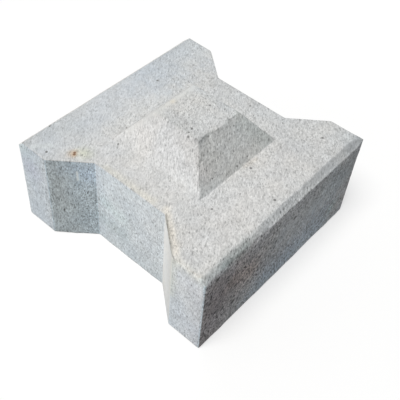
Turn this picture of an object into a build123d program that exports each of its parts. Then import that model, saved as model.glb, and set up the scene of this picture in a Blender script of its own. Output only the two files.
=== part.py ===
from build123d import *
import os

# Interlocking concrete block for paving banks and slopes: an I-shaped block, cast in one
# piece, with a low truncated pyramid on its top face.
# X runs along the two long faces, Y from one flange to the other and Z up.
# The origin is at the middle of the underside.

# Driving dimensions
block_side = 400  # side of the square plan
block_thickness = 180  # underside to the flat top
notch_mouth = 270  # width of each side notch between the flange tips
notch_floor = 150  # width of each side notch at the waist
notch_depth = 50  # flange tips to the waist
edge_bevel = 11  # bevel along the top of the two long faces, the same each way
pyramid_base = 190
pyramid_top = 95
pyramid_height = 60
upright_radius = 4  # rounding of the upright corners
arris_radius = 3  # rounding of the other edges

# Worked out from them
half_side = block_side / 2
slant_run = (notch_mouth - notch_floor) / 2
slant_angle = Vector(1, 0).get_angle(Vector(slant_run, notch_depth))
bevel_square = edge_bevel * 2**0.5  # a square on its corner, whose lower half cuts the bevel
crown_level = block_thickness + pyramid_height

with BuildPart() as concrete_block:
    # The I-shaped plan, carried up to the flat top
    with BuildSketch() as plan:
        Rectangle(block_side, block_side)
        with PolarLocations(half_side, 2):
            Trapezoid(
                notch_mouth,
                notch_depth,
                slant_angle,
                rotation=90,
                align=(Align.CENTER, Align.MIN),
                mode=Mode.SUBTRACT,
            )
        fillet(plan.vertices(), upright_radius)
    extrude(amount=block_thickness)

    # The bevels along the two long top edges
    with BuildSketch(Plane.YZ) as bevels:
        with Locations((half_side, block_thickness), (-half_side, block_thickness)):
            Rectangle(bevel_square, bevel_square, rotation=45)
    extrude(amount=half_side, both=True, mode=Mode.SUBTRACT)

    # The rounded rims of the underside, the flat top and the bevels
    underside = concrete_block.faces().sort_by(Axis.Z)[0]
    flat_top = concrete_block.faces().sort_by(Axis.Z)[-1]
    bevel_faces = concrete_block.faces().filter_by_position(
        Axis.Z, block_thickness - edge_bevel, block_thickness, inclusive=(False, False)
    )
    fillet(underside.edges() + flat_top.edges() + bevel_faces.edges(), arris_radius)

    # The truncated pyramid in the middle of the top
    with BuildSketch(Plane.XY.offset(block_thickness)):
        Rectangle(pyramid_base, pyramid_base)
    with BuildSketch(Plane.XY.offset(crown_level)):
        Rectangle(pyramid_top, pyramid_top)
    loft()
    crown = concrete_block.faces().sort_by(Axis.Z)[-1]
    hips = concrete_block.edges().filter_by_position(
        Axis.Z, block_thickness, crown_level, inclusive=(False, False)
    )
    fillet(crown.edges() + hips, arris_radius)

concrete_block.part.label = "concrete_block"

os.makedirs("parts", exist_ok=True)
export_step(concrete_block.part, "parts/concrete_block.step")
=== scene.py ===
from math import radians

import bmesh
import bpy
import numpy as np
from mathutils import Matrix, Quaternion, Vector, noise


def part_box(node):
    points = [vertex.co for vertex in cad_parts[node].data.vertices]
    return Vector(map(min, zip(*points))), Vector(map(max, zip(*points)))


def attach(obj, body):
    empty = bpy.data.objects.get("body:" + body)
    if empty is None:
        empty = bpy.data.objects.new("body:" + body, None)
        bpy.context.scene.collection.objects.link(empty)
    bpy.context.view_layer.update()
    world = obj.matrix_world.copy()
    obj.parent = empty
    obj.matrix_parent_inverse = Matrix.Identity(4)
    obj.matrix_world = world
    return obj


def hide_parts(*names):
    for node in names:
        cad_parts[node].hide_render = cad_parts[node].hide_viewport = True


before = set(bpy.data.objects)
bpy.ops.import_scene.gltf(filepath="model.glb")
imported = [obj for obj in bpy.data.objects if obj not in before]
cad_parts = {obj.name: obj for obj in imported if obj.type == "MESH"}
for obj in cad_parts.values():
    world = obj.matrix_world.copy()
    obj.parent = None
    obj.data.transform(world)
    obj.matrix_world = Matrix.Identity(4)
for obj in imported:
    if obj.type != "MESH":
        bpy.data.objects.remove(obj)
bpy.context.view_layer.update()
blockLow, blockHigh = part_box("concrete_block")
print("frame loaded")

# the casting, in metres and degrees; its side and its full height come from the frame
casting = {
    "side": blockHigh[0] - blockLow[0],
    "top": 0.180,  # level of the flat top
    "crown": blockHigh[2],  # level of the pyramid's top
    "notchMouth": 0.270,
    "notchFloor": 0.150,
    "notchDepth": 0.050,
    "edgeBevel": 0.011,
    "bevelEnd": 0.016,  # at its far right the front bevel runs out into a full corner
    "pyramidBase": 0.190,
    "pyramidTop": 0.095,
    "courses": (0.042, 0.084, 0.126),  # levels at which the sides are cut into cells
    "fineness": 4,  # rounds of subdivision
    "arris": 0.0010,  # rounding of all edges
    "arrisSteps": 2,
    "arrisAngle": 25,  # bend from which an edge is rounded
    "sharpAngle": 32,  # bend from which an edge is shaded sharp
}
half = casting["side"] / 2
waist = half - casting["notchDepth"]
mouthHalf = casting["notchMouth"] / 2
floorHalf = casting["notchFloor"] / 2
footHalf = casting["pyramidBase"] / 2
crownHalf = casting["pyramidTop"] / 2
topLevel = casting["top"]
crownLevel = casting["crown"]
bevelLevel = topLevel - casting["edgeBevel"]  # lower edge of the bevels


def pick(kind, test):
    # selects the vertices, edges or faces whose middle passes the test
    mesh = bpy.context.edit_object.data
    bpy.ops.mesh.select_mode(type=kind)
    bpy.ops.mesh.select_all(action="DESELECT")
    shell = bmesh.from_edit_mesh(mesh)
    if kind == "VERT":
        for vert in shell.verts:
            vert.select_set(test(vert.co))
    elif kind == "EDGE":
        for edge in shell.edges:
            edge.select_set(test((edge.verts[0].co + edge.verts[1].co) / 2))
    else:
        for face in shell.faces:
            face.select_set(test(face.calc_center_median(), face.normal))
    shell.select_flush_mode()
    bmesh.update_edit_mesh(mesh)


def cutAcross(axis, places, test=lambda co, normal: True):
    # cuts the faces that pass the test by planes across one axis
    across = [0, 0, 0]
    across[axis] = 1
    for place in places:
        point = [0, 0, 0]
        point[axis] = place
        pick("FACE", test)
        bpy.ops.mesh.bisect(plane_co=point, plane_no=across)


def applyModifier(piece, kind, **settings):
    made = piece.modifiers.new(kind.lower(), kind)
    for name, value in settings.items():
        setattr(made, name, value)
    bpy.ops.object.modifier_apply(modifier=made.name)


def blockShape():
    # a cube, pulled in at both sides for the notches, with the pyramid drawn up from its top
    c = casting
    hair = 0.0005  # room for rounding when vertices are picked
    under = -0.5  # faces that look down more than this are the underside
    level = 0.9  # faces that look up more than this are flat
    uncut = (0.5, 0.7, 0.65)  # faces that look along an axis more than this aren't cut across it
    bpy.ops.object.select_all(action="DESELECT")
    size = (c["side"], c["side"], topLevel)
    bpy.ops.mesh.primitive_cube_add(size=1, location=(0, 0, topLevel / 2), scale=size)
    piece = bpy.context.active_object
    piece.name = "castBlock"
    bpy.ops.object.transform_apply(location=True, rotation=True, scale=True)
    bpy.ops.object.mode_set(mode="EDIT")

    # the notches: the middle of each side moves in, and the cuts beside it become the slants
    cutAcross(1, (-mouthHalf, -floorHalf, floorHalf, mouthHalf))
    for sign in (-1, 1):
        pick("VERT", lambda co: co.x * sign > half - hair and abs(co.y) < floorHalf + hair)
        bpy.ops.transform.translate(value=(-sign * c["notchDepth"], 0, 0))

    # the pyramid
    cutAcross(0, (-footHalf, footHalf))
    cutAcross(1, (-footHalf, footHalf))
    pick("FACE", lambda co, normal: normal.z > level and abs(co.x) < footHalf and abs(co.y) < footHalf)
    bpy.ops.mesh.extrude_region_move(TRANSFORM_OT_translate={"value": (0, 0, crownLevel - topLevel)})
    shrink = c["pyramidTop"] / c["pyramidBase"]
    bpy.ops.transform.resize(value=(shrink, shrink, 1), center_override=(0, 0, crownLevel))

    # the bevels along the two long top edges
    pick("EDGE", lambda co: abs(co.y) > half - hair and co.z > topLevel - hair)
    bpy.ops.mesh.bevel(offset=c["edgeBevel"], segments=1, affect="EDGES")

    # the far right end of the front bevel: both its corners move out to the full corner and merge there
    cutAcross(0, (half - c["bevelEnd"],), lambda co, normal: co.y < -mouthHalf and normal.z > under)
    inner = half - c["edgeBevel"] - hair
    pick("VERT", lambda co: co.x > half - hair and inner < -co.y < half - hair and co.z > topLevel - hair)
    bpy.ops.transform.translate(value=(0, -c["edgeBevel"], 0))
    pick("VERT", lambda co: co.x > half - hair and -co.y > half - hair and abs(co.z - bevelLevel) < hair)
    bpy.ops.transform.translate(value=(0, 0, c["edgeBevel"]))
    bpy.ops.mesh.select_all(action="SELECT")
    bpy.ops.mesh.remove_doubles(threshold=hair)

    # even cells over all but the underside, for the fine mesh
    slant = (mouthHalf + floorHalf) / 2
    middle = (topLevel + crownLevel) / 2
    alongX = (-waist, -crownHalf, 0, crownHalf, waist)
    alongY = (-slant, -crownHalf, 0, crownHalf, slant)
    cutAcross(0, alongX, lambda co, normal: abs(normal.x) < uncut[0] and normal.z > under)
    cutAcross(1, alongY, lambda co, normal: abs(normal.y) < uncut[1] and normal.z > under)
    cutAcross(2, (*c["courses"], middle), lambda co, normal: abs(normal.z) < uncut[2])
    bpy.ops.mesh.select_all(action="SELECT")
    bpy.ops.mesh.normals_make_consistent(inside=False)
    bpy.ops.object.mode_set(mode="OBJECT")
    return piece


# places on the faces that show
def onTop(x, y):
    return (x, y, topLevel)


def onCrown(x, y):
    return (x, y, crownLevel)


def onFront(x, z):
    return (x, -half, z)


def onBevel(x):
    drop = casting["edgeBevel"] / 2
    return (x, drop - half, topLevel - drop)  # along the middle of the front bevel


def onEnd(y, z):
    return (-half, y, z)  # the two ends of the left side


def onWaist(y, z):
    return (-waist, y, z)  # the floor of the left notch


# the corners of the pyramid, counted from the near one towards the right
around = ((-1, -1), (1, -1), (1, 1), (-1, 1))
foot = [onTop(x * footHalf, y * footHalf) for x, y in around]
crown = [onCrown(x * crownHalf, y * crownHalf) for x, y in around]


def stretch(start, end, reach):
    return {"from": start, "to": end, "reach": reach}


# stretches of edge that are soft, worn right round, chipped, ragged, or still sharp
nearRim = (onEnd(-mouthHalf, topLevel), onEnd(-0.19, topLevel))
crownEdge = stretch(crown[0], onCrown(0.034, -crownHalf), 0.006)
nearHip = stretch(crown[0], foot[0], 0.005)
rubbedEdges = [
    stretch(foot[0], foot[3], 0.013),
    stretch(foot[3], foot[2], 0.013),
    stretch(foot[2], foot[1], 0.010),
    stretch(foot[0], foot[1], 0.006),
    stretch(crown[0], crown[3], 0.012),
    stretch(crown[3], crown[2], 0.010),
    stretch(crown[3], foot[3], 0.010),
    stretch(*nearRim, 0.012),
]
wornEdges = [stretch((-half, -0.197, 0.175), (-0.09, -0.197, 0.175), 0.028)]  # the near end of the bevel
chippedEdges = [
    crownEdge,
    nearHip,
    stretch(*nearRim, 0.005),
    stretch(onFront(-0.17, bevelLevel), onFront(0.02, bevelLevel), 0.005),
]
raggedEdges = [crownEdge, nearHip]
crispEdges = [stretch(onFront(half, 0.182), onFront(half, 0.160), 0.018)]  # the far corner of the front

# single chips: place, radius, and how far the edge is pushed in
chips = [
    (onFront(-0.083, 0.168), 0.006, (0, 0.0020, -0.0008)),
    (onFront(-0.058, 0.168), 0.005, (0, 0.0019, -0.0007)),
    (onEnd(-0.150, 0.179), 0.006, (0.0018, 0, -0.0018)),
    (onEnd(-0.178, 0.179), 0.007, (0.0021, 0, -0.0021)),
    (onCrown(-0.030, -crownHalf), 0.015, (0, 0.0048, 0)),
    (onCrown(0.008, -crownHalf), 0.009, (0, -0.0025, 0)),
]

# wear of the edges and unevenness of the cast faces, in metres
relief = {
    "rub": 0.5,  # how far one round of smoothing goes
    "rubs": 12,  # rounds of smoothing on the rubbed edges
    "wornRubs": 60,  # and on the near end of the front bevel
    "settle": 20,  # and on all edges after the wear
    "fullBend": 0.3,  # bend between neighbours that counts as a full arris
    "leastWeight": 0.02,  # what weighs less is left out of a group
    "straight": 0.004,  # the edges below this level aren't worn
    "flat": 0.00001,  # what lies below this level is the underside
    "tiny": 1e-6,  # no length counts as less
}
# cloud patterns laid on one after the other: size in metres, level that stays in place, strength in metres
reliefLayers = [
    dict(name="wear", group="arris", size=0.010, depth=2, level=0.2, strength=-0.0012),
    dict(name="chips", group="chipped", size=0.012, depth=1, level=0.45, strength=-0.0045),
    dict(name="raggedX", group="ragged", size=0.006, depth=1, level=0.5, strength=0.020, along="X"),
    dict(name="raggedY", group="ragged", size=0.006, depth=1, level=0.5, strength=0.020, along="Y"),
    dict(name="swell", group="cast", size=0.09, depth=1, level=0.8, strength=0.0008),
    dict(name="grain", group="cast", size=0.0042, depth=2, level=0.7, strength=0.0007),
]


def readPoints(mesh):
    points = np.empty(len(mesh.vertices) * 3)
    mesh.vertices.foreach_get("co", points)
    return points.reshape(-1, 3)


def readNormals(mesh):
    normals = np.empty(len(mesh.vertices) * 3)
    mesh.vertex_normals.foreach_get("vector", normals)
    return normals.reshape(-1, 3)


def writePoints(mesh, points):
    mesh.vertices.foreach_set("co", points.ravel())
    mesh.update()


def arrisWeight(mesh):
    # how near each vertex is to an outward edge, from the bend between neighbours
    ends = np.empty(len(mesh.edges) * 2, dtype=np.int64)
    mesh.edges.foreach_get("vertices", ends)
    a, b = ends.reshape(-1, 2).T
    points = readPoints(mesh)
    normals = readNormals(mesh)
    gap = points[b] - points[a]
    length = np.linalg.norm(gap, axis=1)
    bend = np.einsum("ij,ij->i", normals[b] - normals[a], gap) / np.maximum(length, relief["tiny"])
    weight = np.zeros(len(points))
    np.maximum.at(weight, a, bend)
    np.maximum.at(weight, b, bend)
    count = np.bincount(ends, minlength=len(points))
    spread = np.bincount(a, weight[b], len(points)) + np.bincount(b, weight[a], len(points))
    weight = (weight + spread / count) / 2
    return np.clip(weight / relief["fullBend"], 0, 1)


def distanceTo(points, start, end=None):
    # from each point to a place, or to the line between two places
    start = np.array(start)
    along = np.array(end) - start if end else np.zeros(3)
    share = np.clip((points - start) @ along / max(along @ along, relief["tiny"] ** 2), 0, 1)
    return np.linalg.norm(points - start - share[:, None] * along, axis=1)


def nearLine(points, line):
    # one along the line, falling to nothing past its reach
    return np.exp(-((distanceTo(points, line["from"], line["to"]) / line["reach"]) ** 4))


def nearLines(points, lines):
    return np.max([nearLine(points, line) for line in lines], axis=0)


def weightGroup(piece, name, weight):
    group = piece.vertex_groups.new(name=name)
    for index in np.flatnonzero(weight > relief["leastWeight"]):
        group.add([int(index)], float(weight[index]), "REPLACE")


def rubDown(piece, group, rounds):
    applyModifier(piece, "SMOOTH", factor=relief["rub"], iterations=rounds, vertex_group=group)


def layRelief(piece, layer):
    texture = bpy.data.textures.new(layer["name"], "CLOUDS")
    texture.noise_scale = layer["size"]
    texture.noise_depth = layer["depth"]
    applyModifier(
        piece, "DISPLACE", texture=texture, texture_coords="LOCAL", direction=layer.get("along", "NORMAL"),
        mid_level=layer["level"], strength=layer["strength"], vertex_group=layer["group"],
    )


def castBlock():
    c = casting
    r = relief
    piece = blockShape()
    print("block shaped:", len(piece.data.polygons), "faces")
    applyModifier(
        piece, "SUBSURF", subdivision_type="SIMPLE", levels=c["fineness"], render_levels=c["fineness"],
        use_creases=False,
    )
    applyModifier(
        piece, "BEVEL", width=c["arris"], segments=c["arrisSteps"], limit_method="ANGLE",
        angle_limit=radians(c["arrisAngle"]),
    )
    mesh = piece.data
    triangles = sum(len(polygon.vertices) - 2 for polygon in mesh.polygons)
    print("block meshed:", len(mesh.polygons), "faces", triangles, "triangles")

    points = readPoints(mesh)
    weightGroup(piece, "rubbed", nearLines(points, rubbedEdges))
    weightGroup(piece, "worn", nearLines(points, wornEdges))
    weightGroup(piece, "chipped", nearLines(points, chippedEdges))
    weightGroup(piece, "ragged", nearLines(points, raggedEdges))
    rubDown(piece, "rubbed", r["rubs"])
    rubDown(piece, "worn", r["wornRubs"])
    arris = arrisWeight(mesh)
    normals = readNormals(mesh)
    points = readPoints(mesh)
    resting = points[:, 2] < r["flat"]

    cast = 1 - nearLines(points, crispEdges)
    soft = arris * cast
    weightGroup(piece, "cast", cast)
    weightGroup(piece, "arris", soft * (points[:, 2] > r["straight"]))
    weightGroup(piece, "edges", np.maximum(soft, nearLines(points, chippedEdges + raggedEdges)))
    for layer in reliefLayers:
        layRelief(piece, layer)
    rubDown(piece, "edges", r["settle"])
    points = readPoints(mesh)
    for place, radius, push in chips:
        points += np.exp(-((distanceTo(points, place) / radius) ** 2))[:, None] * np.array(push)
    # the worn faces stay within the solid's box, and the underside lies flat
    points = np.clip(points, blockLow, blockHigh)
    points[resting, 2] = 0
    writePoints(mesh, points)
    bpy.ops.object.shade_smooth_by_angle(angle=radians(c["sharpAngle"]))
    print("block worn")
    return piece, arris, normals


# the ways that faces look
up = (0, 0, 1)
front = (0, -1, 0)
back = (0, 1, 0)
left = (-1, 0, 0)
right = (1, 0, 0)
nearSlant = (-0.768, 0.64, 0)  # the slants of the left notch, then those of the right one
farSlant = (-0.768, -0.64, 0)
hiddenSlants = ((0.768, -0.64, 0), (0.768, 0.64, 0))
pyramidFront = (0, -0.784, 0.62)
pyramidLeft = (-0.784, 0, 0.62)
pyramidBack = (0, 0.784, 0.62)
frontBevel = (0, -0.707, 0.707)
anywhere = None
plain = (1, 1, 1)  # a tint that changes nothing

# whole faces: tint as a share of the plain concrete, and how strong the grain is; the tints are partly the
# concrete's tone and partly painted light and shade, each face made lighter or darker by the way it looks
faces = [
    # painted light: the faces that look left are made paler
    {"facing": left, "tint": (1.015, 1.085, 1.145), "grain": 1.0},
    {"facing": right, "tint": (0.98, 1.03, 1.08), "grain": 1.15},
    {"facing": nearSlant, "tint": (1.165, 1.165, 1.16), "grain": 0.25},  # smooth, from the mould; its pale tint is painted light
    {"facing": farSlant, "tint": (0.955, 1.07, 1.14), "grain": 1.4},
    *({"facing": slant, "tint": (0.92, 1.0, 1.06), "grain": 1.5} for slant in hiddenSlants),
    {"facing": back, "tint": (0.95, 0.98, 1.0), "grain": 1.25},
    {"facing": front, "tint": (1.03, 1.015, 1.03), "grain": 2.6},
    # painted shade: the front bevel is made darker
    {"facing": frontBevel, "tint": (0.89, 0.90, 0.90), "grain": 1.3},
    # painted shade: the pyramid's left face is made darker
    {"facing": pyramidLeft, "tint": (0.93, 0.92, 0.925), "grain": 1.1},
    {"facing": pyramidBack, "tint": (1.04, 1.035, 1.02), "grain": 0.6},
]


def streak(facing, start, end, reach, tint, grain=1):
    return {"facing": facing, "from": start, "to": end, "reach": reach, "tint": tint, "grain": grain}


def spot(facing, place, reach, tint, grain=1):
    return streak(facing, place, None, reach, tint, grain)


# stains, and painted light and shade: the faces that each keeps to, its line or place, how far it reaches
# in metres, its tint and grain
marks = [
    # the flat top: paler in front, bluer and smoother at the back, duller at the right and the far corner
    streak(up, onTop(-0.14, -0.15), onTop(0.06, -0.14), 0.06, (1.05, 1.04, 1.04)),
    streak(up, onTop(-half, 0.17), onTop(0.03, 0.17), 0.06, (0.965, 1.0, 1.05), grain=0.7),
    streak(up, onTop(0.09, 0.18), onTop(half, 0.18), 0.06, (0.90, 0.945, 0.995), grain=0.9),
    streak(up, onTop(0.13, -0.15), onTop(0.15, 0.05), 0.06, (0.95, 0.96, 0.975)),
    streak(up, onTop(0.04, -0.14), onTop(0.09, -0.12), 0.04, (0.955, 0.955, 0.955)),
    streak(up, onTop(-0.12, -0.05), onTop(-0.12, 0.08), 0.035, (1.035, 1.03, 1.035), grain=0.8),
    spot(up, onTop(0.19, -0.185), 0.025, (0.93, 0.95, 0.96)),
    streak(up, onTop(-0.19, 0.19), onTop(-0.12, 0.165), 0.026, (0.92, 0.925, 0.92)),
    streak(up, onTop(-0.192, 0.168), onTop(-0.176, 0.155), 0.006, (1.10, 1.10, 1.07)),
    # painted shade: the far edge and the back bevel, which faces away from the light, are made darker
    streak(anywhere, onTop(-half, 0.195), onTop(-0.1, 0.195), 0.012, (0.95, 0.95, 0.95), grain=1.5),
    # the rust spot and its halo
    spot(up, onTop(-0.147, 0.102), 0.013, (0.965, 0.97, 0.84)),
    spot(up, onTop(-0.162, 0.114), 0.009, (1.03, 0.92, 0.82)),
    streak(anywhere, onTop(-0.160, 0.1105), onTop(-0.1555, 0.114), 0.005, (0.93, 0.80, 0.68)),
    spot(anywhere, onTop(-0.148, 0.089), 0.003, (0.74, 0.75, 0.70)),
    # the cream rims of the left notch, and the smooth pale strip along the pyramid's far edge
    streak(up, onTop(-0.144, 0.055), onTop(-0.143, -0.045), 0.007, (1.07, 1.05, 0.99)),
    streak(up, onTop(-0.141, -0.070), onTop(-0.190, -0.134), 0.007, (1.15, 1.10, 1.02)),
    streak(anywhere, onTop(-half, -0.145), onTop(-half, -0.185), 0.007, (1.06, 1.04, 0.99)),
    streak(
        anywhere, onCrown(-0.048, 0.0435), onCrown(0.040, 0.0435), 0.0055, (1.15, 1.145, 1.125), grain=0.2
    ),
    streak(anywhere, (-0.052, 0.048, 0.235), (-0.078, 0.074, 0.203), 0.006, (1.05, 1.05, 1.035), grain=0.3),
    # the pyramid: brown beside the near hip, greenish and dark at its right, bluish at the crown's right
    spot(pyramidFront, (-0.065, -0.075, 0.205), 0.016, (0.98, 0.955, 0.955)),
    streak(pyramidFront, (0.05, -0.06, 0.225), (0.08, -0.088, 0.19), 0.02, (0.93, 0.96, 0.96)),
    spot(anywhere, onCrown(0.047, -0.046), 0.005, (0.76, 0.80, 0.79)),
    spot(anywhere, (0.036, -crownHalf, 0.2395), 0.004, (1.12, 1.16, 1.16)),
    # painted shade: the chipped front edge of the crown is made dark, like the pyramid's front face
    streak(anywhere, (-0.044, -0.0465, 0.239), (-0.014, -0.0445, 0.239), 0.004, (0.84, 0.85, 0.85)),
    # painted light: the foot of the pyramid's left face is made paler, against the shade that gathers in
    # the crease
    streak(pyramidLeft, foot[0], foot[3], 0.018, (1.08, 1.085, 1.08), grain=0.75),
    streak(pyramidLeft, (-0.088, -0.075, 0.19), (-0.06, -0.05, 0.225), 0.016, (0.98, 0.98, 0.98)),
    streak(anywhere, crown[0], crown[3], 0.021, (0.925, 0.93, 0.935)),
    spot(pyramidFront, (0.09, -0.092, 0.184), 0.018, (0.93, 0.93, 0.93)),
    streak(up, onCrown(0.045, -0.035), onCrown(0.045, 0.03), 0.014, (0.95, 0.975, 1.0)),
    spot(anywhere, onCrown(-0.009, 0.042), 0.005, (1.0, 0.95, 0.87)),
    spot(anywhere, (-0.048, -0.045, 0.238), 0.006, (0.86, 0.86, 0.86)),
    streak(pyramidFront, foot[0], foot[1], 0.014, plain, grain=0.82),
    streak(up, onCrown(-0.03, 0), onCrown(0.03, 0), 0.04, plain, grain=1.22),
    # brown dirt at the foot of the pyramid
    streak(anywhere, onTop(0.012, -0.098), onTop(0.036, -0.100), 0.005, (0.98, 0.95, 0.915)),
    # the front bevel: dark where it is rubbed, with a painted shadow line along its upper edge and a pale
    # lower edge further on; the bevel and its run-out at the far right are darkened with painted shade
    streak(
        anywhere, (-0.158, -0.194, 0.168), (-0.105, -0.195, 0.170), 0.0105, (0.72, 0.76, 0.75), grain=1.15
    ),
    streak(anywhere, (-0.195, -0.196, 0.168), (-0.15, -0.196, 0.168), 0.010, (1.01, 1.06, 1.08)),
    # painted shadow: a thin dark line along the bevel's upper edge
    streak(anywhere, onTop(-0.02, -0.190), onTop(half, -0.190), 0.0030, (0.88, 0.88, 0.89)),
    streak(anywhere, (-0.06, -0.199, 0.170), (half, -0.199, 0.170), 0.0035, (1.12, 1.12, 1.12)),
    # painted shade: the whole bevel is made darker
    streak(frontBevel, onBevel(-half), onBevel(half), 0.010, (0.92, 0.925, 0.94), grain=1.25),
    # painted shade: the run-out at the far right and its corner are made dark, as a chamfer in shade
    streak(anywhere, onBevel(0.17), (half, -0.198, 0.178), 0.010, (0.80, 0.81, 0.82)),
    streak(anywhere, (0.05, -0.1995, 0.1695), (half, -0.1995, 0.1755), 0.0030, (1.14, 1.15, 1.15)),
    streak(
        frontBevel, (0.07, -0.194, 0.175), (half, -0.1965, 0.178), 0.009, (0.96, 0.965, 0.97), grain=0.5
    ),
    spot(anywhere, onTop(0.199, -0.193), 0.006, (0.76, 0.78, 0.79)),
    # the front face: dark towards the near corner, brown flecks, paler in the middle, bluer low down
    streak(front, onFront(-0.195, 0), onFront(-0.17, topLevel), 0.045, (0.83, 0.795, 0.80)),
    streak(front, onFront(-0.150, 0.10), onFront(-0.10, 0.10), 0.045, (0.86, 0.83, 0.83)),
    streak(front, onFront(-0.125, 0.118), onFront(-0.085, 0.095), 0.022, (1.05, 0.98, 0.93), grain=1.3),
    streak(front, onFront(-0.04, 0.025), onFront(0.11, 0.03), 0.042, (0.99, 1.08, 1.16)),
    streak(front, onFront(0, 0.115), onFront(0.14, 0.10), 0.045, (1.14, 1.19, 1.21), grain=0.8),
    streak(front, onFront(0.12, 0.14), onFront(half, 0.12), 0.05, (0.92, 0.955, 0.96), grain=0.75),
    streak(front, onFront(0.155, 0.10), onFront(0.125, 0.065), 0.014, (0.88, 0.89, 0.90)),
    spot(front, onFront(0.155, 0.045), 0.016, (0.97, 1.04, 1.02)),
    streak(front, onFront(-0.09, 0), onFront(half, 0), 0.03, (1.06, 1.10, 1.12)),
    streak(front, onFront(-half, 0), onFront(half, 0), 0.04, plain, grain=0.76),
    spot(front, onFront(-0.13, 0.068), 0.018, (0.89, 0.90, 0.90)),
    streak(front, onFront(-0.14, 0.152), onFront(-0.11, 0.152), 0.014, (1.22, 1.20, 1.20)),
    streak(front, onFront(0.02, 0.115), onFront(0.08, 0.085), 0.036, plain, grain=0.65),
    streak(front, onFront(0.195, 0.17), onFront(0.195, 0), 0.025, plain, grain=0.72),
    # the far end of the left side
    streak(left, onEnd(0.17, 0), onEnd(0.17, topLevel), 0.07, (0.82, 0.825, 0.84)),
    spot(left, onEnd(0.19, 0.165), 0.02, (0.96, 1.0, 0.98)),
    spot(left, onEnd(0.175, 0.13), 0.024, (1.0, 0.975, 1.02)),
    streak(left, onEnd(0.143, 0.17), onEnd(0.143, 0), 0.018, plain, grain=1.35),
    # the far slant: greyer towards the end, bluer towards the waist
    streak(farSlant, (-0.157, 0.083, 0), onTop(-0.157, 0.083), 0.016, (1.03, 1.03, 1.04), grain=1.3),
    streak(farSlant, (-0.155, 0.081, 0.172), (-0.155, 0.081, 0.145), 0.014, (1.09, 1.09, 1.11)),
    streak(farSlant, (-0.190, 0.123, 0), onTop(-0.190, 0.123), 0.024, (1.0, 0.975, 0.95)),
    streak(farSlant, (-0.176, 0.106, 0.168), (-0.160, 0.087, 0.150), 0.022, (0.98, 1.01, 1.06)),
    spot(farSlant, (-0.1694, 0.0983, 0.128), 0.006, (0.80, 0.82, 0.84)),
    # the waist: paler under its top edge, with a dark damp patch low down
    streak(
        left, onWaist(floorHalf, topLevel), onWaist(-floorHalf, topLevel),
        0.05, (1.06, 1.055, 1.05), grain=0.85,
    ),
    streak(left, onWaist(floorHalf, 0), onWaist(-floorHalf, 0), 0.06, (0.945, 0.95, 0.95)),
    streak(left, onWaist(0.062, 0.056), onWaist(0.025, 0.052), 0.018, (0.91, 0.935, 0.93)),
    streak(left, onWaist(0.055, 0.10), onWaist(0.02, 0.09), 0.016, (1.0, 1.04, 1.03)),
    streak(left, onWaist(-0.05, 0.14), onWaist(-0.04, 0.06), 0.035, (1.04, 1.02, 1.01)),
    streak(left, onWaist(0.06, 0.09), onWaist(-0.06, 0.09), 0.055, plain, grain=1.3),
    # the near end of the left side: cream at its upper left, bluer low down
    streak(left, onEnd(-0.17, 0), onEnd(-0.17, topLevel), 0.05, (1.115, 1.085, 1.075), grain=1.1),
    streak(left, onEnd(-0.198, 0.13), onEnd(-0.198, 0), 0.025, (0.93, 0.91, 0.91)),
    streak(left, onEnd(-0.145, 0.176), onEnd(-0.19, 0.176), 0.015, (1.01, 0.975, 0.925)),
    streak(left, onEnd(-0.137, 0.17), onEnd(-0.137, 0.09), 0.009, (1.03, 1.02, 0.96)),
    streak(left, onEnd(-0.19, 0.03), onEnd(-0.15, 0.03), 0.04, (0.97, 0.99, 1.02)),
    streak(left, onEnd(-0.155, 0.148), onEnd(-0.190, 0.148), 0.020, (1.11, 1.10, 1.10)),
    spot(anywhere, onEnd(-0.193, 0.176), 0.012, (0.86, 0.85, 0.84)),
    # the smooth slant: paler towards the waist
    streak(nearSlant, (-0.158, -0.085, 0.165), (-0.158, -0.085, 0.07), 0.020, (1.07, 1.07, 1.07)),
    streak(nearSlant, (-0.195, -0.129, 0.17), (-0.195, -0.129, 0), 0.016, (0.92, 0.925, 0.925)),
    streak(nearSlant, onWaist(-floorHalf, 0), onEnd(-mouthHalf, 0), 0.025, (0.94, 0.945, 0.955)),
]

# the thin dark line that a burr leaves along the near slant of the left notch
burr = streak(anywhere, onTop(-0.152, -0.077), onTop(-0.1985, -0.133), 0.0036, (0.57, 0.57, 0.555))

painting = {
    "faceLeast": 0.8,  # how squarely a face has to look a way to take its tint
    "markLeast": 0.7,
    "fade": 0.15,  # over which the tint comes in
    "patches": 90,  # per metre, in the noise that breaks up the edges of the stains
    "patchy": 0.35,  # how far that noise moves them
    "arrisShare": 0.3,  # how much painted shade the arrises take, which dulls their highlights
    "arrisShade": (0.88, 0.88, 0.87),
}


def paintStainsAndShade(mesh, arris, normals):
    p = painting
    points = readPoints(mesh)
    stainAndShade = np.ones((len(points), 4))  # tint, and the strength of the grain

    def lay(weight, tint, grain=1):
        stainAndShade[:] *= 1 + weight[:, None] * (np.array((*tint, grain)) - 1)

    def looking(facing, least):
        return np.clip((normals @ np.array(facing) - least) / p["fade"], 0, 1)

    for face in faces:
        lay(looking(face["facing"], p["faceLeast"]), face["tint"], face["grain"])
    patchy = np.array([noise.noise(Vector(point) * p["patches"]) for point in points])
    for mark in marks:
        away = distanceTo(points, mark["from"], mark["to"]) / mark["reach"]
        weight = np.exp(-((away * (1 + p["patchy"] * patchy)) ** 2))
        if mark["facing"]:
            weight *= looking(mark["facing"], p["markLeast"])
        lay(weight, mark["tint"], mark["grain"])
    lay(nearLine(points, burr), burr["tint"])
    # painted shade: the arrises are darkened, which dulls the highlights along the edges
    lay(p["arrisShare"] * arris, p["arrisShade"])
    # the attribute holds real stains together with painted light and shade
    attribute = mesh.color_attributes.new("stainAndShade", "FLOAT_COLOR", "POINT")
    attribute.data.foreach_set("color", stainAndShade.ravel())
    print("block stained")


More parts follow.
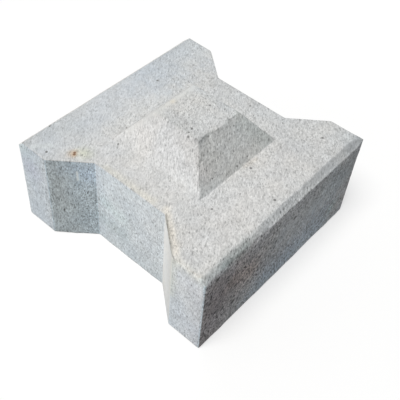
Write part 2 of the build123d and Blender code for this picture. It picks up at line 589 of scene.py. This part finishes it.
# single pores that stand out: place and radius
largePores = [
    # on the flat top
    (onTop(-0.186, 0.146), 0.0030),
    (onTop(0.015, -0.107), 0.0032),
    (onTop(-0.012, -0.175), 0.0032),
    (onTop(-0.093, -0.118), 0.0024),
    (onTop(0.154, -0.149), 0.0032),
    (onTop(0.066, 0.145), 0.0028),
    (onTop(-0.095, 0.079), 0.0022),
    # on the pyramid
    (onCrown(0.027, -0.005), 0.0024),
    (onCrown(-0.034, -0.021), 0.0024),
    (onCrown(-0.043, -0.023), 0.0022),
    ((-0.049, -0.027, 0.237), 0.0028),
    ((-0.036, -0.053, 0.233), 0.0020),
    ((-0.055, -0.085, 0.192), 0.0019),
    ((-0.001, -0.091, 0.184), 0.0022),
    ((0.026, -0.090, 0.186), 0.0021),
    ((0.027, -0.056, 0.229), 0.0018),
    # on the front face
    (onFront(-0.174, 0.160), 0.0050),
    (onFront(-0.146, 0.138), 0.0055),
    (onFront(-0.168, 0.069), 0.0050),
    (onFront(-0.150, 0.060), 0.0060),
    (onFront(-0.124, 0.050), 0.0060),
    (onFront(-0.123, 0.093), 0.0045),
    (onFront(-0.067, 0.111), 0.0045),
    (onFront(-0.025, 0.111), 0.0045),
    (onFront(0.020, 0.130), 0.0050),
    (onFront(-0.185, 0.110), 0.0050),
]

# the core of the rust spot: place and radius
rustSpots = [
    (onTop(-0.1595, 0.1110), 0.0032),
    (onTop(-0.1565, 0.1135), 0.0030),
]

# a narrow pale drip on the far slant, as dots one below the other
drip = {"place": (-0.1686, 0.0973), "top": 0.156, "step": 0.003, "dots": 7, "radius": 0.0026}
dripLevels = [drip["top"] - drip["step"] * step for step in range(drip["dots"])]
dripSpots = [((*drip["place"], level), drip["radius"]) for level in dripLevels]

# colours are linear, lengths in metres; each pattern has the values that are read and the shades they give
concrete = {
    "pale": (0.626, 0.624, 0.611, 1),
    "cool": (0.600, 0.609, 0.610, 1),
    "pore": (0.17, 0.17, 0.165, 1),
    "rust": (0.22, 0.118, 0.072, 1),
    "drip": (0.95, 1.0, 1.0, 1),
    "grainTurn": 37,  # in degrees
    "grainStretch": (2.2, 1, 2.3),
    "grain": {"size": 0.0018, "detail": 2, "rough": 0.6, "read": (0.25, 0.75), "shade": (0.77, 1.23)},
    "flecks": {"size": 0.0024, "detail": 2, "rough": 0.5, "read": (0.33, 0.43), "shade": (0.72, 1.04)},
    "blotches": {"size": 0.035, "detail": 4, "rough": 0.7, "read": (0.3, 0.7), "shade": (0.94, 1.06)},
    "mottle": {"size": 0.05, "detail": 2, "rough": 0.5, "read": (0.35, 0.65), "shade": (0, 1)},
    "sand": {"size": 0.0024, "read": (0, 1), "shade": (0.88, 1.10)},
    "pores": {"spacing": 0.017, "share": 0.14, "largest": 0.0020},
    "finePores": {"spacing": 0.0055, "share": 0.2, "largest": 0.0014},
    "finePoreDepth": 0.6,
    "poreRim": 0.3,  # share of the largest radius over which a pore darkens
    "dotCore": 0.5,  # share of a dot's radius that has its full cover
    "dotCover": 0.85,
    "darkest": 0.25,  # least shade that the grain gives
    "sandHeight": 0.25,  # against the grain, in the bump
    "bumpStrength": 0.7,
    "bumpHeight": 0.0007,
    "roughness": 0.92,
    "specular": 0.05,
}


def addNode(tree, kind, inputs=None, **settings):
    # a node with its settings, and with values or links on its inputs
    made = tree.nodes.new(kind)
    for name, value in settings.items():
        setattr(made, name, value)
    for name, value in (inputs or {}).items():
        if isinstance(value, bpy.types.NodeSocket):
            tree.links.new(value, made.inputs[name])
        else:
            made.inputs[name].default_value = value
    return made


def concreteMaterial():
    c = concrete
    material = bpy.data.materials.new("castConcrete")
    material.use_nodes = True
    tree = material.node_tree
    shader = tree.nodes["Principled BSDF"]
    where = addNode(tree, "ShaderNodeTexCoord").outputs["Object"]
    # the grain is drawn out upright and away from the near corner, as it looks in the photo
    place = addNode(
        tree, "ShaderNodeMapping",
        {"Vector": where, "Rotation": (0, 0, radians(c["grainTurn"])), "Scale": c["grainStretch"]},
        vector_type="TEXTURE",
    ).outputs["Vector"]
    stainAndShade = addNode(tree, "ShaderNodeVertexColor", layer_name="stainAndShade")
    grainAmount = stainAndShade.outputs["Alpha"]

    def noiseAt(at, pattern):
        inputs = {"Scale": 1 / pattern["size"], "Detail": pattern["detail"], "Roughness": pattern["rough"]}
        return addNode(tree, "ShaderNodeTexNoise", {"Vector": at, **inputs}).outputs["Fac"]

    def cellsAt(size):
        # round cells, each with a number of its own
        cells = addNode(tree, "ShaderNodeTexVoronoi", {"Vector": place, "Scale": 1 / size})
        own = addNode(tree, "ShaderNodeSeparateColor", {"Color": cells.outputs["Color"]})
        return cells.outputs["Distance"], own.outputs["Red"]

    def spread(value, read, shade):
        inputs = {"From Min": read[0], "From Max": read[1], "To Min": shade[0], "To Max": shade[1]}
        return addNode(tree, "ShaderNodeMapRange", {"Value": value, **inputs}).outputs["Result"]

    def shadeOf(value, pattern):
        return spread(value, pattern["read"], pattern["shade"])

    def maths(operation, first, second):
        return addNode(tree, "ShaderNodeMath", {0: first, 1: second}, operation=operation).outputs["Value"]

    def mix(blend, factor, first, second):
        # the colour sockets of a Mix node are inputs 6 and 7 and output 2
        return addNode(
            tree, "ShaderNodeMix", {0: factor, 6: first, 7: second}, data_type="RGBA", blend_type=blend
        ).outputs[2]

    def poresAt(pores):
        # dark pits in some of the cells, each of its own size
        widest = pores["largest"] / pores["spacing"]
        distance, own = cellsAt(pores["spacing"])
        radius = spread(own, (1 - pores["share"], 1), (0, widest))
        return spread(maths("SUBTRACT", radius, distance), (0, c["poreRim"] * widest), (0, 1))

    def dots(spots):
        # a round dot at each place
        cover = 0
        for centre, radius in spots:
            gap = addNode(tree, "ShaderNodeVectorMath", {0: where, 1: centre}, operation="DISTANCE")
            dot = spread(gap.outputs["Value"], (c["dotCore"] * radius, radius), (c["dotCover"], 0))
            cover = maths("MAXIMUM", cover, dot)
        return cover

    grain = noiseAt(place, c["grain"])
    flecks = noiseAt(place, c["flecks"])
    mottle = noiseAt(where, c["mottle"])
    blotches = noiseAt(where, c["blotches"])
    sand = cellsAt(c["sand"]["size"])[1]

    # light and dark, with as much grain as the stains leave
    shade = maths("MULTIPLY", shadeOf(grain, c["grain"]), shadeOf(sand, c["sand"]))
    shade = maths("MULTIPLY", shade, shadeOf(flecks, c["flecks"]))
    shade = maths("MULTIPLY", shade, shadeOf(blotches, c["blotches"]))
    shade = maths("ADD", maths("MULTIPLY", maths("SUBTRACT", shade, 1), grainAmount), 1)
    shade = maths("MAXIMUM", shade, c["darkest"])
    shadeColour = addNode(tree, "ShaderNodeCombineColor", {"Red": shade, "Green": shade, "Blue": shade})

    # pores, fewer on the smooth faces
    calm = maths("MINIMUM", grainAmount, 1)
    finePores = maths("MULTIPLY", poresAt(c["finePores"]), c["finePoreDepth"])
    pitted = maths("MULTIPLY", maths("MAXIMUM", poresAt(c["pores"]), finePores), calm)
    pitted = maths("MAXIMUM", pitted, dots(largePores))

    colour = mix("MIX", shadeOf(mottle, c["mottle"]), c["pale"], c["cool"])
    colour = mix("MULTIPLY", 1, colour, shadeColour.outputs["Color"])
    colour = mix("MULTIPLY", 1, colour, stainAndShade.outputs["Color"])
    colour = mix("MIX", pitted, colour, c["pore"])
    colour = mix("MIX", dots(rustSpots), colour, c["rust"])
    colour = mix("MIX", dots(dripSpots), colour, c["drip"])
    tree.links.new(colour, shader.inputs["Base Color"])

    height = maths("SUBTRACT", maths("ADD", grain, maths("MULTIPLY", sand, c["sandHeight"])), pitted)
    strength = maths("MULTIPLY", calm, c["bumpStrength"])
    bump = addNode(
        tree, "ShaderNodeBump", {"Height": height, "Strength": strength, "Distance": c["bumpHeight"]}
    )
    tree.links.new(bump.outputs["Normal"], shader.inputs["Normal"])
    shader.inputs["Roughness"].default_value = c["roughness"]
    shader.inputs["Specular IOR Level"].default_value = c["specular"]
    return material


block, arris, normals = castBlock()
paintStainsAndShade(block.data, arris, normals)
block.data.materials.clear()
block.data.materials.append(concreteMaterial())
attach(block, "root")
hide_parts("concrete_block")
print("block finished")

# the studio: a pale floor, a broad soft light from above and the left, three low lamps and a dim sky
studio = {
    "floorSize": 14,
    "floorDrop": 0.0005,  # the floor lies this far under the block
    "floorSeen": (0.97, 0.97, 0.97, 1),
    "floorGlow": 0.5,  # share of the seen floor that is plain white
    "floorBounce": (0.1, 0.1, 0.1, 1),  # what the floor throws back on the block
    "white": (1, 1, 1, 1),
    "sky": (0.243, 0.25, 0.261, 1),
    "keyFrom": (-0.30, 0.0, 0.75),
    "keyAway": 3,  # the key stands this many times as far out
    "keyStrength": 2.54,
    "keyColour": (1.0, 0.99, 0.965),
    "keyAngle": 30,
    "lampColour": (1.0, 0.995, 0.985),
}
lamps = [
    {"name": "panelLight", "place": (-1.23, 1.02, 0.09), "size": (1.2, 0.15), "power": 12.5},
    {"name": "fillLight", "place": (0.9, -1.15, 0.25), "size": (0.8, 0.4), "power": 0.9},
    {"name": "sideLight", "place": (1.5, 0.25, 0.2), "size": (1.0, 0.4), "power": 3.0},
]


def seenDirectly(tree):
    # one for what the camera sees, also in a mirror or through glass
    path = addNode(tree, "ShaderNodeLightPath").outputs
    seen = path["Is Camera Ray"]
    for ray in ("Is Glossy Ray", "Is Transmission Ray"):
        seen = addNode(tree, "ShaderNodeMath", {0: seen, 1: path[ray]}, operation="MAXIMUM").outputs[0]
    return seen


def mixShaders(tree, factor, first, second):
    return addNode(tree, "ShaderNodeMixShader", {0: factor, 1: first.outputs[0], 2: second.outputs[0]})


def buildStudio():
    s = studio
    bpy.ops.object.select_all(action="DESELECT")
    bpy.ops.mesh.primitive_plane_add(size=s["floorSize"], location=(0, 0, -s["floorDrop"]))
    floor = bpy.context.active_object
    floor.name = "studioFloor"
    bpy.ops.object.transform_apply(location=True, rotation=True, scale=True)
    material = bpy.data.materials.new("floorPaper")
    material.use_nodes = True
    tree = material.node_tree
    tree.nodes.clear()
    bounce = addNode(tree, "ShaderNodeBsdfDiffuse", {"Color": s["floorBounce"]})
    paper = addNode(tree, "ShaderNodeBsdfDiffuse", {"Color": s["floorSeen"]})
    glow = addNode(tree, "ShaderNodeEmission", {"Color": s["white"], "Strength": 1})
    both = mixShaders(tree, seenDirectly(tree), bounce, mixShaders(tree, s["floorGlow"], paper, glow))
    addNode(tree, "ShaderNodeOutputMaterial", {"Surface": both.outputs[0]})
    floor.data.materials.append(material)

    world = bpy.data.worlds.new("studioSky")
    bpy.context.scene.world = world
    world.use_nodes = True
    tree = world.node_tree
    tree.nodes.clear()
    dim = addNode(tree, "ShaderNodeBackground", {"Color": s["sky"], "Strength": 1})
    white = addNode(tree, "ShaderNodeBackground", {"Color": s["white"], "Strength": 1})
    both = mixShaders(tree, seenDirectly(tree), dim, white)
    addNode(tree, "ShaderNodeOutputWorld", {"Surface": both.outputs[0]})

    keyFrom = Vector(s["keyFrom"])
    bpy.ops.object.light_add(type="SUN", location=keyFrom * s["keyAway"])
    key = bpy.context.active_object
    key.name = "keyLight"
    key.rotation_euler = keyFrom.to_track_quat("Z", "Y").to_euler()
    key.data.energy = s["keyStrength"]
    key.data.color = s["keyColour"]
    key.data.angle = radians(s["keyAngle"])

    for lamp in lamps:
        x, y, z = lamp["place"]
        bpy.ops.object.light_add(type="AREA", location=(x, y, z))
        light = bpy.context.active_object
        light.name = lamp["name"]
        light.rotation_euler = Vector((x, y, 0)).to_track_quat("Z", "Y").to_euler()
        light.data.shape = "RECTANGLE"
        light.data.size, light.data.size_y = lamp["size"]
        light.data.energy = lamp["power"]
        light.data.color = s["lampColour"]
    print("studio lit")


# where the photograph was taken from, in metres, degrees and millimetres; the picture is square
viewpoint = {
    "place": (-0.649, -0.515, 0.973),
    "aim": (0.034, 0.002, 0.0),
    "roll": 5.5,
    "lens": 63.1,
    "sensor": 36,
}


def placeCamera():
    v = viewpoint
    data = bpy.data.cameras.new("photoCamera")
    data.lens = v["lens"]
    data.sensor_width = v["sensor"]
    camera = bpy.data.objects.new("photoCamera", data)
    bpy.context.scene.collection.objects.link(camera)
    camera.location = v["place"]
    look = Vector(v["aim"]) - Vector(v["place"])
    turn = look.to_track_quat("-Z", "Y") @ Quaternion((0, 0, 1), radians(v["roll"]))
    camera.rotation_euler = turn.to_euler()
    bpy.context.scene.camera = camera
    print("camera placed")


buildStudio()
placeCamera()
bpy.context.scene.view_settings.view_transform = "Standard"
